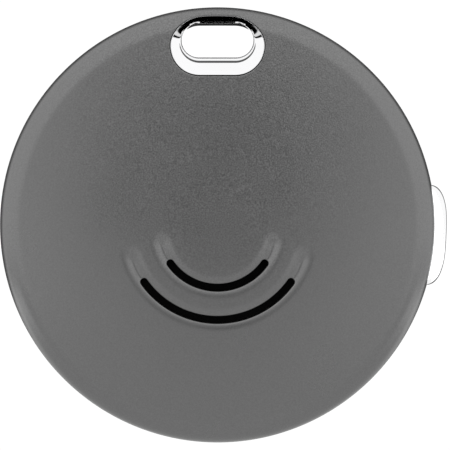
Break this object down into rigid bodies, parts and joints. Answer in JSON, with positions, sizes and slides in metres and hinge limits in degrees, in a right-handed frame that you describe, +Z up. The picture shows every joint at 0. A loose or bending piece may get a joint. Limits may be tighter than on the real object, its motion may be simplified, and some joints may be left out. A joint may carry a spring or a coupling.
{
  "type": "bluetooth tracker tag",
  "caption": "Thin round key tag with a chromed key-ring slot, a side button, arc-shaped sounder slits and a bayonet battery door.",
  "frame": {"origin": "middle of the upper wall of the key-ring hole, halfway between the face and the back", "axes": "+Z up as the tag hangs, +X to the button's side, +Y out of the back and -Y out of the face"},
  "size_m": [0.0314, 0.006, 0.0305],
  "materials": {
    "face": "bead-blasted, dark grey anodised",
    "rear_shell": "moulded, satin",
    "chrome": "polished",
    "frame_plastic": "moulded",
    "rubber": "moulded silicone",
    "steel": "plain",
    "door": "turned, satin",
    "brass": "plain",
    "board": "solder mask over glass laminate",
    "ceramic": "fired",
    "chip": "moulded epoxy",
    "ferrite": "sintered",
    "capacitor": "fired, with tinned ends",
    "acoustic_cloth": "woven, black"
  },
  "bodies": {
    "housing": {"front_shell": "face", "rear_shell": "rear_shell", "key_slot_liner": "chrome", "perimeter_seal": "rubber", "inner_frame": "frame_plastic", "frame_screw_1": "steel", "frame_screw_2": "steel", "frame_screw_3": "steel", "button_seal": "rubber", "switch_body": "steel", "main_pcb": "board", "radio_chip": "chip", "motion_sensor": "chip", "crystal": "steel", "chip_antenna": "ceramic", "capacitor_1": "capacitor", "capacitor_2": "capacitor", "capacitor_3": "capacitor", "capacitor_4": "capacitor", "capacitor_5": "capacitor", "boost_coil": "ferrite", "piezo_plate": "brass", "piezo_ceramic": "ceramic", "sounder_gasket": "rubber", "acoustic_mesh": "acoustic_cloth", "sounder_contact_1": "brass", "sounder_contact_2": "brass", "negative_contact": "brass", "positive_contact": "brass"},
    "button": {"button_cap": "chrome"},
    "plunger": {"switch_plunger": "frame_plastic"},
    "door_seal": {"door_seal": "rubber"},
    "battery_door": {"battery_door": "door"},
    "coin_cell": {"cell_can": "steel", "cell_gasket": "frame_plastic", "cell_cap": "steel", "cell_core": "chip"}
  },
  "joints": [
    {"name": "button_press", "type": "slide", "parent": "housing", "child": "button", "axis": [-0.9989, 0, 0.0471], "range_m": [0, 0.0003], "stiffness_N_per_m": 400},
    {"name": "plunger_travel", "type": "slide", "parent": "housing", "child": "plunger", "axis": [-0.9989, 0, 0.0471], "range_m": [0, 0.0003]},
    {"name": "door_lift", "type": "slide", "parent": "housing", "child": "door_seal", "axis": [0, 1, 0], "range_m": [0, 0.01]},
    {"name": "door_turn", "type": "hinge", "parent": "door_seal", "child": "battery_door", "pos_m": [0, 0.003, -0.0141], "axis": [0, -1, 0], "range_deg": [0, 30]},
    {"name": "cell_removal", "type": "slide", "parent": "housing", "child": "coin_cell", "axis": [0, 1, 0], "range_m": [0, 0.005]}
  ],
  "couplings": [
    {"joint": "plunger_travel", "follows": "button_press", "ratio": 1},
    {"joint": "cell_removal", "follows": "door_lift", "ratio": 0.5}
  ]
}
